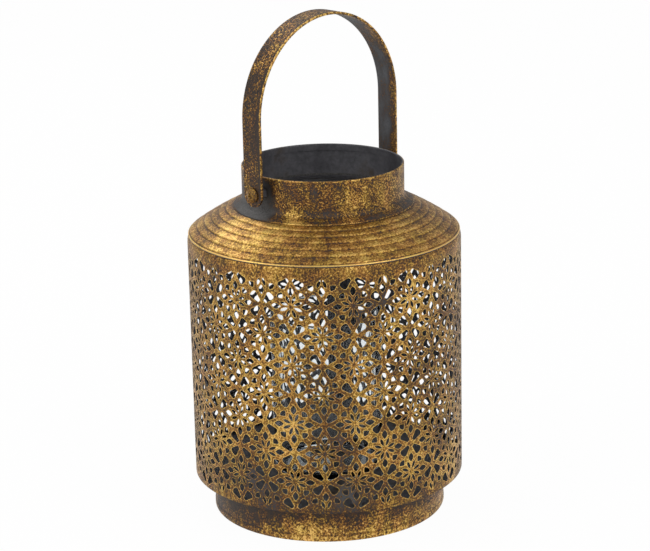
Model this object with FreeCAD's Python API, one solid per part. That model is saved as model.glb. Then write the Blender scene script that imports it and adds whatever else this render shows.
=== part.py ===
import FreeCAD, Part
import math
import os
from FreeCAD import Vector

# Punched tin lantern with a strap handle and a loose candle glass, in millimetres.
# Z points up, the origin is the centre of the foot, and the handle's pivots lie along X.
# The round sheet pieces are swept in narrow flats, two to a column of flowers, that all share
# their creases, so the pieces seat on each other flat to flat.

# Pierced wall
BODY_RADIUS = 100.0
WALL_HEIGHT = 182.1
WALL_SHEET = 0.8
WALL_CURL_HEIGHT = 5.0
WALL_CURL_INSET = 1.1
WALL_FLANGE_WIDTH = 5.0

# Flower lattice punched in the wall
LATTICE_COLUMNS = 28
LATTICE_ROW_STEPS = 8
FLATS_PER_COLUMN = 2
LOWEST_ROW_HEIGHT = 2.0
UPPER_PLAIN_BAND = 6.5
BELL_TIP_SHARE = 0.084
BELL_MOUTH_SHARES = (0.235, 0.455)

# Lap seam at the back, where the rolled sheet meets itself
SEAM_BAND_WIDTH = 17.5
SEAM_LAP_WIDTH = 9.0
SEAM_LAP_SHEET = 0.6
SEAM_DIRECTION = 38.25
SEAM_FLATS = 2

# Foot ring and floor
FOOT_INSET = 13.8
FOOT_HEIGHT = 27.5
FOOT_SHEET = 0.8
FOOT_HEM_HEIGHT = 4.5
FOOT_HEM_THICKNESS = 1.7
FOOT_FLANGE_WIDTH = 7.0
FLOOR_SHEET = 0.8
FLOOR_EDGE_GAP = 0.2

# Stepped shoulder
SHOULDER_SHEET = 0.8
SHOULDER_RISE = 19.1
SHOULDER_EDGE_LIFT = 1.6
SHOULDER_EDGE_INSET = 1.7
SHOULDER_CROWN = 1.0
SHOULDER_STEPS = 6
SHOULDER_STEP_RISE = 0.7
SHOULDER_RISER_WIDTH = 0.7
SHOULDER_BEAD_WIDTH = 0.85
SHOULDER_LAP_WIDTH = 4.6

# Neck collar
NECK_RADIUS = 59.0
NECK_SHEET = 0.8
NECK_HEIGHT = 30.1
NECK_HEM_HEIGHT = 5.0
NECK_HEM_THICKNESS = 1.6
NECK_FOOT_ROUNDING = 4.5
NECK_FOOT_FACETS = 2
NECK_FLANGE_WIDTH = 7.0
NECK_FLANGE_SLOPE = 29.0

# Strap handle
HANDLE_STRAP_WIDTH = 17.6
HANDLE_STRAP_THICKNESS = 1.8
HANDLE_SPRING_HEIGHT = 52.5
PIVOT_DROP = 11.4

# Pivot screws and the hexagon weld nuts that they turn in
SCREW_JOURNAL_RADIUS = 2.6
SCREW_THREAD_RADIUS = 2.0
SCREW_THREAD_ENGAGEMENT = 5.5
SCREW_HEAD_RADIUS = 5.3
SCREW_HEAD_HEIGHT = 2.8
NUT_CORNER_RADIUS = 4.3
NUT_LENGTH = 7.8
NUT_SIDES = 6

# Candle glass
GLASS_RADIUS = 41.0
GLASS_HEIGHT = 119.0
GLASS_WALL = 2.4
GLASS_BASE = 4.0

# Fits
PIVOT_CLEARANCE = 0.08
STRAP_SIDE_PLAY = 0.3
THREAD_CLEARANCE = 0.03
CUT_OVERRUN = 1.0

# Places worked out from the sizes above
WALL_TOP = FOOT_HEIGHT + WALL_HEIGHT
FLOOR_BOTTOM = FOOT_HEIGHT + WALL_SHEET
FLOOR_TOP = FLOOR_BOTTOM + FLOOR_SHEET
FOOT_RADIUS = BODY_RADIUS - FOOT_INSET
SHOULDER_TOP = WALL_TOP + SHOULDER_EDGE_LIFT + SHOULDER_RISE
NECK_RIM = SHOULDER_TOP + NECK_HEIGHT
FLANGE_EDGE = NECK_RADIUS + NECK_FLANGE_WIDTH
SHOULDER_EDGE = BODY_RADIUS - SHOULDER_EDGE_INSET
PIVOT_Z = NECK_RIM - PIVOT_DROP
SPRING_Z = PIVOT_Z + HANDLE_SPRING_HEIGHT
NUT_FACE_X = NECK_RADIUS + NUT_LENGTH
STRAP_INNER_X = NUT_FACE_X + STRAP_SIDE_PLAY
STRAP_OUTER_X = STRAP_INNER_X + HANDLE_STRAP_THICKNESS
HEAD_SEAT_X = STRAP_OUTER_X + STRAP_SIDE_PLAY


def column_pitch():
    """Angle between flower columns, in degrees, once the seam band has taken its share of the girth."""
    return (360 - math.degrees(SEAM_BAND_WIDTH / BODY_RADIUS)) / LATTICE_COLUMNS


def row_pitch():
    """Height between flower rows."""
    return (WALL_HEIGHT - LOWEST_ROW_HEIGHT - UPPER_PLAIN_BAND) / LATTICE_ROW_STEPS


def column_directions():
    """Direction of every flower column, in degrees from +X, counted from the seam."""
    first = SEAM_DIRECTION + math.degrees(SEAM_BAND_WIDTH / BODY_RADIUS) / 2 + column_pitch() / 2
    return [first + column * column_pitch() for column in range(LATTICE_COLUMNS)]


def crease_directions():
    """Direction of every crease, in degrees: the flats of each column, then those of the seam band."""
    creases = []
    for direction in column_directions():
        for flat in range(FLATS_PER_COLUMN):
            creases.append(direction + column_pitch() * (flat / FLATS_PER_COLUMN - 0.5))
    seam = 360 - column_pitch() * LATTICE_COLUMNS
    for flat in range(SEAM_FLATS):
        creases.append(SEAM_DIRECTION - seam / 2 + seam * flat / SEAM_FLATS)
    return creases


def crease_point(direction, radius, height):
    """Point of one crease at a radius and height."""
    turn = math.radians(direction)
    return Vector(radius * math.cos(turn), radius * math.sin(turn), height)


def flat_sided_disc(radius, bottom, height):
    """Many-sided disc with its corners on the creases."""
    corners = [crease_point(direction, radius, bottom) for direction in crease_directions()]
    return Part.Face(Part.makePolygon(corners + corners[:1])).extrude(Vector(0, 0, height))


def flat_sided_ring(outline):
    """Sheet ring whose section is a closed outline of (radius, height) points, in flats from crease to crease."""
    creases = crease_directions()
    flats = []
    for start, end in zip(outline, outline[1:] + outline[:1]):
        for here, there in zip(creases, creases[1:] + creases[:1]):
            corners = [
                crease_point(here, *start),
                crease_point(there, *start),
                crease_point(there, *end),
                crease_point(here, *end),
            ]
            flats.append(Part.Face(Part.makePolygon(corners + corners[:1])))
    ring = Part.Solid(Part.makeShell(flats))
    if ring.Volume < 0:
        ring.reverse()
    return ring.removeSplitter()


def revolved(points):
    """Solid of revolution about Z from a closed outline of (radius, height) points."""
    corners = [Vector(radius, 0, height) for radius, height in points]
    outline = Part.Face(Part.makePolygon(corners + corners[:1]))
    return outline.revolve(Vector(0, 0, 0), Vector(0, 0, 1), 360)


def bell_punch(direction, height, side, up):
    """Punch for one bell-shaped opening of a flower, its tip towards the flower's centre."""
    outward = crease_point(direction, 1, 0)
    along = Vector(0, 0, side).cross(outward)
    cell_width = math.radians(column_pitch()) * BODY_RADIUS
    tip, (near, far) = BELL_TIP_SHARE, BELL_MOUTH_SHARES
    depth = WALL_SHEET + WALL_CURL_INSET + CUT_OVERRUN
    corners = []
    for across, rise in ((tip, tip), (far, near), (near, far)):
        foot = outward * (BODY_RADIUS - depth) + Vector(0, 0, height + up * rise * row_pitch())
        corners.append(foot + along * (across * cell_width))
    return Part.Face(Part.makePolygon(corners + corners[:1])).extrude(outward * (depth + CUT_OVERRUN))


def lattice_punches():
    """Every bell opening: four to a flower in every other cell, two where a border halves the flower."""
    punches = []
    for column, direction in enumerate(column_directions()):
        for row in range((column + 1) % 2, LATTICE_ROW_STEPS + 1, 2):
            height = FOOT_HEIGHT + LOWEST_ROW_HEIGHT + row * row_pitch()
            halves = [up for up in (-1, 1) if 0 < row + up / 2 < LATTICE_ROW_STEPS]
            for up in halves:
                punches.append(bell_punch(direction, height, -1, up))
                punches.append(bell_punch(direction, height, 1, up))
    return punches


def seam_lap():
    """Outer lap of the sheet over its own end, a plain strip down the back."""
    start = BODY_RADIUS - WALL_SHEET / 2
    depth = BODY_RADIUS + SEAM_LAP_SHEET - start
    height = WALL_HEIGHT - WALL_CURL_HEIGHT - WALL_SHEET
    strip = Part.makeBox(depth, SEAM_LAP_WIDTH, height, Vector(start, -SEAM_LAP_WIDTH / 2, FLOOR_BOTTOM))
    strip.rotate(Vector(0, 0, 0), Vector(0, 0, 1), SEAM_DIRECTION)
    return strip


def pierced_body():
    """Rolled wall with its flower lattice, drawn-in top edge, turned-in foot flange and lap seam."""
    inside = BODY_RADIUS - WALL_SHEET
    curl_start = WALL_TOP - WALL_CURL_HEIGHT
    wall = flat_sided_ring([
        (BODY_RADIUS, FOOT_HEIGHT),
        (BODY_RADIUS, curl_start),
        (BODY_RADIUS - WALL_CURL_INSET, WALL_TOP),
        (inside - WALL_CURL_INSET, WALL_TOP),
        (inside, curl_start),
        (inside, FLOOR_BOTTOM),
        (inside - WALL_FLANGE_WIDTH, FLOOR_BOTTOM),
        (inside - WALL_FLANGE_WIDTH, FOOT_HEIGHT),
    ])
    return wall.fuse(seam_lap()).cut(lattice_punches()).removeSplitter()


def floor_plate():
    """Flat tin floor, resting on the wall's turned-in flange and the foot ring."""
    return flat_sided_disc(BODY_RADIUS - WALL_SHEET - FLOOR_EDGE_GAP, FLOOR_BOTTOM, FLOOR_SHEET)


def base_ring():
    """Foot ring with a folded hem to stand on and a turned-in flange under the floor."""
    inside = FOOT_RADIUS - FOOT_SHEET
    hem_inside = FOOT_RADIUS - FOOT_HEM_THICKNESS
    flange_inside = FOOT_RADIUS - FOOT_FLANGE_WIDTH
    return flat_sided_ring([
        (FOOT_RADIUS, 0),
        (FOOT_RADIUS, FLOOR_BOTTOM),
        (flange_inside, FLOOR_BOTTOM),
        (flange_inside, FLOOR_BOTTOM - FOOT_SHEET),
        (inside, FLOOR_BOTTOM - FOOT_SHEET),
        (inside, FOOT_HEM_HEIGHT),
        (hem_inside, FOOT_HEM_HEIGHT),
        (hem_inside, 0),
    ])


def flange_slope():
    """Fall of the neck flange for each unit of radius."""
    return math.tan(math.radians(NECK_FLANGE_SLOPE))


def shoulder_line(radius):
    """Height of the shoulder's smooth outer line, a chord with a slight crown."""
    share = (radius - FLANGE_EDGE) / (SHOULDER_EDGE - FLANGE_EDGE)
    return SHOULDER_TOP - SHOULDER_RISE * share + 4 * SHOULDER_CROWN * share * (1 - share)


def shoulder():
    """Pressed shoulder: six shallow steps from the neck flange down to a beaded edge on the wall."""
    step = (SHOULDER_EDGE - FLANGE_EDGE) / SHOULDER_STEPS
    lap_radius = FLANGE_EDGE - SHOULDER_LAP_WIDTH
    lap_height = SHOULDER_TOP + SHOULDER_LAP_WIDTH * flange_slope()
    outline = [(lap_radius, lap_height), (FLANGE_EDGE, SHOULDER_TOP)]
    for number in range(SHOULDER_STEPS):
        foot = FLANGE_EDGE + (number + 1) * step
        outline.append((foot - SHOULDER_RISER_WIDTH, shoulder_line(foot) + SHOULDER_STEP_RISE))
        outline.append((foot, shoulder_line(foot)))
    middle = (FLANGE_EDGE + SHOULDER_EDGE) / 2
    outline += [
        (SHOULDER_EDGE + SHOULDER_BEAD_WIDTH, WALL_TOP + SHOULDER_BEAD_WIDTH),
        (BODY_RADIUS - WALL_CURL_INSET, WALL_TOP),
        (SHOULDER_EDGE - SHOULDER_SHEET - SHOULDER_SHEET, WALL_TOP),
        (middle, shoulder_line(middle) - SHOULDER_SHEET),
        (lap_radius, lap_height - SHOULDER_SHEET),
    ]
    return flat_sided_ring(outline)


def bend_points(centre, radius, start_angle, end_angle):
    """Corners of a bend laid in flats about a centre, angles in degrees from outward towards up."""
    points = []
    for number in range(NECK_FOOT_FACETS + 1):
        turn = math.radians(start_angle + (end_angle - start_angle) * number / NECK_FOOT_FACETS)
        points.append((centre[0] + radius * math.cos(turn), centre[1] + radius * math.sin(turn)))
    return points


def neck_collar():
    """Neck with a folded hem at its rim and a flange that laps over the shoulder."""
    slope = flange_slope()
    stretch = math.hypot(1, slope)
    top_edge = SHOULDER_TOP + NECK_SHEET * stretch
    bend_radius = NECK_RADIUS + NECK_FOOT_ROUNDING
    bend_height = top_edge + (FLANGE_EDGE - bend_radius) * slope + NECK_FOOT_ROUNDING * stretch
    bend_centre = (bend_radius, bend_height)
    foot_angle = 270 - NECK_FLANGE_SLOPE
    outside = bend_points(bend_centre, NECK_FOOT_ROUNDING, foot_angle, 180)
    underside = bend_points(bend_centre, NECK_FOOT_ROUNDING + NECK_SHEET, 180, foot_angle)
    hem_inside = NECK_RADIUS - NECK_HEM_THICKNESS
    outline = outside + [
        (NECK_RADIUS, NECK_RIM),
        (hem_inside, NECK_RIM),
        (hem_inside, NECK_RIM - NECK_HEM_HEIGHT),
        (NECK_RADIUS - NECK_SHEET, NECK_RIM - NECK_HEM_HEIGHT),
    ]
    return flat_sided_ring(outline + underside + [(FLANGE_EDGE, SHOULDER_TOP), (FLANGE_EDGE, top_edge)])


def arch_face(half_span):
    """Flat shape under one side of the strap: two straight legs and a half-round top."""
    foot = PIVOT_Z - HANDLE_STRAP_WIDTH / 2
    left_foot, right_foot = Vector(-half_span, 0, foot), Vector(half_span, 0, foot)
    left_spring, right_spring = Vector(-half_span, 0, SPRING_Z), Vector(half_span, 0, SPRING_Z)
    crown = Part.Arc(right_spring, Vector(0, 0, SPRING_Z + half_span), left_spring).toShape()
    legs = [Part.makeLine(right_foot, right_spring), Part.makeLine(left_spring, left_foot)]
    return Part.Face(Part.Wire([legs[0], crown, legs[1], Part.makeLine(left_foot, right_foot)]))


def handle_strap():
    """Bent strap handle with rounded ends and a round hole for each pivot screw."""
    half_width = HANDLE_STRAP_WIDTH / 2
    strap = arch_face(STRAP_OUTER_X).cut(arch_face(STRAP_INNER_X)).extrude(Vector(0, HANDLE_STRAP_WIDTH, 0))
    strap.translate(Vector(0, -half_width, 0))
    reach = STRAP_OUTER_X + CUT_OVERRUN
    end_corner = Vector(-reach, -half_width, PIVOT_Z - half_width)
    square_ends = Part.makeBox(reach * 2, HANDLE_STRAP_WIDTH, half_width, end_corner)
    round_ends = pivot_cylinder(half_width, -reach, reach)
    holes = pivot_cylinder(SCREW_JOURNAL_RADIUS + PIVOT_CLEARANCE, -reach, reach)
    return strap.cut([square_ends.cut(round_ends), holes]).removeSplitter()


def pivot_cylinder(radius, start, end, side=1):
    """Cylinder on the handle's pivot line between two distances from the lantern's axis, towards +X or -X."""
    return Part.makeCylinder(radius, end - start, Vector(start * side, 0, PIVOT_Z), Vector(side, 0, 0))


def pivot_screw(side):
    """Shoulder screw that the strap turns on, seated on the face of its nut."""
    head = pivot_cylinder(SCREW_HEAD_RADIUS, HEAD_SEAT_X, HEAD_SEAT_X + SCREW_HEAD_HEIGHT, side)
    journal = pivot_cylinder(SCREW_JOURNAL_RADIUS, NUT_FACE_X, HEAD_SEAT_X, side)
    thread = pivot_cylinder(SCREW_THREAD_RADIUS, NUT_FACE_X - SCREW_THREAD_ENGAGEMENT, NUT_FACE_X, side)
    return head.fuse([journal, thread]).removeSplitter()


def pivot_nut(side):
    """Hexagon nut welded to the outside of the neck, its foot cut to the neck's flats."""
    corners = []
    for number in range(NUT_SIDES):
        turn = 2 * math.pi * number / NUT_SIDES
        across, rise = NUT_CORNER_RADIUS * math.cos(turn), NUT_CORNER_RADIUS * math.sin(turn)
        corners.append(Vector(NUT_FACE_X * side, across, PIVOT_Z + rise))
    length = NUT_FACE_X - NECK_RADIUS / 2
    nut = Part.Face(Part.makePolygon(corners + corners[:1])).extrude(Vector(-length * side, 0, 0))
    neck = flat_sided_disc(NECK_RADIUS, PIVOT_Z - NUT_CORNER_RADIUS * 2, NUT_CORNER_RADIUS * 4)
    bore = pivot_cylinder(SCREW_THREAD_RADIUS + THREAD_CLEARANCE, 0, NUT_FACE_X, side)
    return nut.cut([neck, bore])


def glass_cylinder():
    """Straight candle glass with a closed base, standing loose on the floor."""
    inside = GLASS_RADIUS - GLASS_WALL
    top = FLOOR_TOP + GLASS_HEIGHT
    inner_floor = FLOOR_TOP + GLASS_BASE
    return revolved([(0, FLOOR_TOP), (GLASS_RADIUS, FLOOR_TOP), (GLASS_RADIUS, top), (inside, top),
                     (inside, inner_floor), (0, inner_floor)])


def build():
    """Every piece of the lantern under its own name."""
    return {
        "pierced_body": pierced_body(),
        "floor_plate": floor_plate(),
        "base_ring": base_ring(),
        "shoulder": shoulder(),
        "neck_collar": neck_collar(),
        "handle_strap": handle_strap(),
        "pivot_screw_right": pivot_screw(1),
        "pivot_screw_left": pivot_screw(-1),
        "pivot_nut_right": pivot_nut(1),
        "pivot_nut_left": pivot_nut(-1),
        "glass_cylinder": glass_cylinder(),
    }


os.makedirs("parts", exist_ok=True)
for name, shape in build().items():
    shape.exportStep(os.path.join("parts", name + ".step"))
    print(name, shape.isValid(), len(shape.Solids), len(shape.Faces), round(shape.Volume))
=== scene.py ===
import logging
import math
from collections.abc import Callable
from dataclasses import dataclass
from enum import Enum

import bmesh
import bpy
from mathutils import Matrix, Vector


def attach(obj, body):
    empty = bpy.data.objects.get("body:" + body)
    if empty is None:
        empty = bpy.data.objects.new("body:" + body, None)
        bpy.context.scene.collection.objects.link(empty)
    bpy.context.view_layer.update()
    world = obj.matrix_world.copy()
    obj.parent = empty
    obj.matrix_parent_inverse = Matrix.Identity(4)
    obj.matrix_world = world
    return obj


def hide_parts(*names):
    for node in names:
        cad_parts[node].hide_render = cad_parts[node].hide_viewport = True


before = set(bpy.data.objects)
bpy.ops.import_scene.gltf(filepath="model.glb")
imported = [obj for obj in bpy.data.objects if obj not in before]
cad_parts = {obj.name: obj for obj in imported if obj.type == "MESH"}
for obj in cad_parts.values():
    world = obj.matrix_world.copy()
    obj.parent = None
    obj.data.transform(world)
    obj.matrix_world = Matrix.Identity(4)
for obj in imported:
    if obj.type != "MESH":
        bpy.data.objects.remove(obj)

# Lengths are in metres. A name that ends in mm holds millimetres, and one that ends in px holds pixels.
LOG = logging.getLogger("lantern")
MM = 0.001
IMAGE_WIDTH_PX = 650
CAMERA_DIRECTION = -134.0
SAME_PLACE = 1e-7

Material = bpy.types.Material
Mesh = bmesh.types.BMesh
Piece = bpy.types.Object
Tree = bpy.types.NodeTree
Point = tuple[float, float]
Outline = list[Point]
Row = tuple[float, float, float]


class Side(Enum):
    """Which end of the pivot line a piece is on."""

    LEFT = -1
    RIGHT = 1


class Flower(Enum):
    """The two flowers that take turns in the lattice."""

    PETALS = 0
    BELLS = 1


# Shared helpers


def linear(code: str) -> tuple[float, float, float, float]:
    """Turn an sRGB hex colour into linear RGBA.

    Args:
        code: Six hex digits after a #.

    Returns:
        Linear red, green, blue and an alpha of 1.
    """
    parts = [int(code[i:i + 2], 16) / 255 for i in (1, 3, 5)]
    light = [p / 12.92 if p <= 0.04045 else ((p + 0.055) / 1.055) ** 2.4 for p in parts]
    return light[0], light[1], light[2], 1.0


def round_axis(radius: float, turn: float, height: float) -> Vector:
    """Point at a radius and a height, turned round the lantern's axis from +X by an angle in radians."""
    return Vector((radius * math.cos(turn), radius * math.sin(turn), height))


def add(tree: Tree, kind: str, sockets: dict | tuple = (), **settings) -> bpy.types.Node:
    """Add one node with its settings and links.

    Args:
        tree: Node tree that takes the node.
        kind: Node type.
        sockets: Input names or indices with what each gets: a value, a socket, or a node whose first
            output feeds it. A tuple fills the first inputs in turn.
        **settings: Node properties.

    Returns:
        The new node.
    """
    node = tree.nodes.new(kind)
    for name, value in settings.items():
        setattr(node, name, value)
    for key, value in sockets.items() if isinstance(sockets, dict) else enumerate(sockets):
        if isinstance(value, bpy.types.Node):
            value = value.outputs[0]
        if isinstance(value, bpy.types.NodeSocket):
            tree.links.new(value, node.inputs[key])
        else:
            node.inputs[key].default_value = value
    return node


def set_stops(ramp: bpy.types.ColorRamp, stops: tuple[tuple[float, str], ...]) -> None:
    """Give a colour ramp its stops.

    Args:
        ramp: Ramp to fill.
        stops: Position and sRGB hex colour of each stop, from low to high.
    """
    while len(ramp.elements) < len(stops):
        ramp.elements.new(1.0)
    for element, (position, code) in zip(ramp.elements, stops):
        element.position = position
        element.color = linear(code)


def new_material(name: str) -> Material:
    """Make a material whose node tree is empty.

    Args:
        name: Name of the material.

    Returns:
        The material.
    """
    material = bpy.data.materials.new(name)
    material.use_nodes = True
    material.node_tree.nodes.clear()
    return material


def piece_of(bm: Mesh, name: str, *materials: Material) -> Piece:
    """Put a built mesh in the scene as an object at the origin.

    Args:
        bm: The mesh, which is freed.
        name: Name of the object and its mesh.
        *materials: Its finishes, in the order of their slots.

    Returns:
        The object.
    """
    mesh = bpy.data.meshes.new(name)
    bm.to_mesh(mesh)
    bm.free()
    for material in materials:
        mesh.materials.append(material)
    piece = bpy.data.objects.new(name, mesh)
    bpy.context.scene.collection.objects.link(piece)
    return piece


def smooth(piece: Piece, sharp_degrees: float = 35.0) -> None:
    """Shade a piece smooth, with edges sharper than an angle kept crisp."""
    piece.data.shade_smooth()
    piece.data.set_sharp_from_angle(angle=math.radians(sharp_degrees))


def finish_modifiers(piece: Piece) -> None:
    """Turn a piece with modifiers into a plain mesh without them.

    Args:
        piece: The piece.
    """
    bpy.context.view_layer.update()
    graph = bpy.context.evaluated_depsgraph_get()
    shaped = piece.evaluated_get(graph)
    mesh = bpy.data.meshes.new_from_object(shaped, preserve_all_data_layers=True, depsgraph=graph)
    piece.modifiers.clear()
    piece.data = mesh


def give_second_finish(piece: Piece, hidden: Callable[[Vector, Vector], bool]) -> None:
    """Give a piece's second finish to the faces whose centre and normal pass a test."""
    for polygon in piece.data.polygons:
        polygon.material_index = int(hidden(polygon.center, polygon.normal))


def arc(centre: Point, radius: float, start: float, end: float, count: int, wear_and_highlight: float = 0.0) -> list[Row]:
    """Points of a turned outline along an arc.

    Args:
        centre: Centre as (radius, height).
        radius: Arc radius.
        start: First angle in degrees, from outward towards up.
        end: Last angle in degrees.
        count: Number of points, both ends included.
        wear_and_highlight: Wear along the arc.

    Returns:
        Radius, height and wear of the points in order.
    """
    angles = [math.radians(start + (end - start) * i / (count - 1)) for i in range(count)]
    return [(centre[0] + radius * math.cos(a), centre[1] + radius * math.sin(a), wear_and_highlight) for a in angles]


def bridge(bm: Mesh, rings: list[list[bmesh.types.BMVert]]) -> None:
    """Join closed rings of points, each to the next and the last to the first.

    Args:
        bm: Mesh of the points.
        rings: Rings with as many points each. A ring at the axis repeats one point.
    """
    for low, high in zip(rings, rings[1:] + rings[:1]):
        for i in range(len(low)):
            j = (i + 1) % len(low)
            corners = list(dict.fromkeys((low[i], low[j], high[j], high[i])))
            if len(corners) > 2:
                bm.faces.new(corners)


def turned(name: str, rows: list[Row], segments: int, *materials: Material) -> Piece:
    """Turn a closed outline round the lantern's axis.

    Args:
        name: Object name.
        rows: Radius, height and wear of each point of the outline. Wear is kept as an attribute: below zero
            the dark tin shows there, and above zero the brushed gold.
        segments: Steps round the axis.
        *materials: Its finishes.

    Returns:
        The turned piece.
    """
    bm = bmesh.new()
    layer = bm.verts.layers.float.new("wear_and_highlight")
    turns = [2 * math.pi * i / segments for i in range(segments)]
    rings = []
    for radius, height, wear_and_highlight in rows:
        if radius < SAME_PLACE:
            ring = [bm.verts.new((0, 0, height))] * segments
        else:
            ring = [bm.verts.new(round_axis(radius, turn, height)) for turn in turns]
        for vertex in ring:
            vertex[layer] = wear_and_highlight
        rings.append(ring)
    bridge(bm, rings)
    bmesh.ops.recalc_face_normals(bm, faces=bm.faces)
    piece = piece_of(bm, name, *materials)
    smooth(piece)
    return piece


def flat_sheet(loops: list[Outline], up: Vector) -> Mesh:
    """Sheet inside its first outline, with the others punched out of it.

    Args:
        loops: Closed outlines, whose first coordinate runs along X.
        up: Direction of the second coordinate.

    Returns:
        The sheet as a mesh of triangles.
    """
    bm = bmesh.new()
    edges = []
    right = Vector((1, 0, 0))
    for loop in loops:
        ring = [bm.verts.new(right * x + up * y) for x, y in loop]
        edges += [bm.edges.new((a, b)) for a, b in zip(ring, ring[1:] + ring[:1])]
    bmesh.ops.triangle_fill(bm, use_beauty=True, edges=edges, normal=right.cross(up))
    return bm


def thicken(bm: Mesh, out: Vector, rim: list[bmesh.types.BMEdge]) -> tuple[list, list]:
    """Give a flat sheet its thickness.

    Args:
        bm: Mesh that holds only the sheet, which becomes the back.
        out: Where the front lies from the back.
        rim: Edges along which the two are joined.

    Returns:
        The faces of the front, and those of the cut edges.
    """
    copied = bmesh.ops.duplicate(bm, geom=bm.verts[:] + bm.edges[:] + bm.faces[:])
    twin = copied["vert_map"]
    front = [item for item in copied["geom"] if isinstance(item, bmesh.types.BMFace)]
    moved = [item for item in copied["geom"] if isinstance(item, bmesh.types.BMVert)]
    bmesh.ops.translate(bm, verts=moved, vec=out)
    cuts = [bm.faces.new((a, b, twin[b], twin[a])) for a, b in (edge.verts for edge in rim)]
    return front, cuts


def slice_mesh(bm: Mesh, axis: Vector, places: list[float]) -> None:
    """Add edges to a mesh where planes across an axis cut it.

    Args:
        bm: The mesh, which stays whole.
        axis: Direction square to the planes.
        places: Distances of the planes along the axis.
    """
    for place in places:
        bmesh.ops.bisect_plane(bm, geom=bm.verts[:] + bm.edges[:] + bm.faces[:], dist=SAME_PLACE,
                               plane_co=axis * place, plane_no=axis)


# Finishes


@dataclass(frozen=True)
class RubAndHighlight:
    """Hand-rubbed spot, which at the shoulder's left is a painted highlight: where it is, how far it
    reaches, and how much gold it adds or takes away.
    """

    bearing: float
    radius_mm: float
    height_mm: float
    reach_mm: float
    gain: float

    @property
    def centre(self) -> Vector:
        """Centre in metres, its bearing counted from the camera's side, to the right."""
        turn = math.radians(CAMERA_DIRECTION + self.bearing)
        return round_axis(self.radius_mm, turn, self.height_mm) * MM


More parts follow.
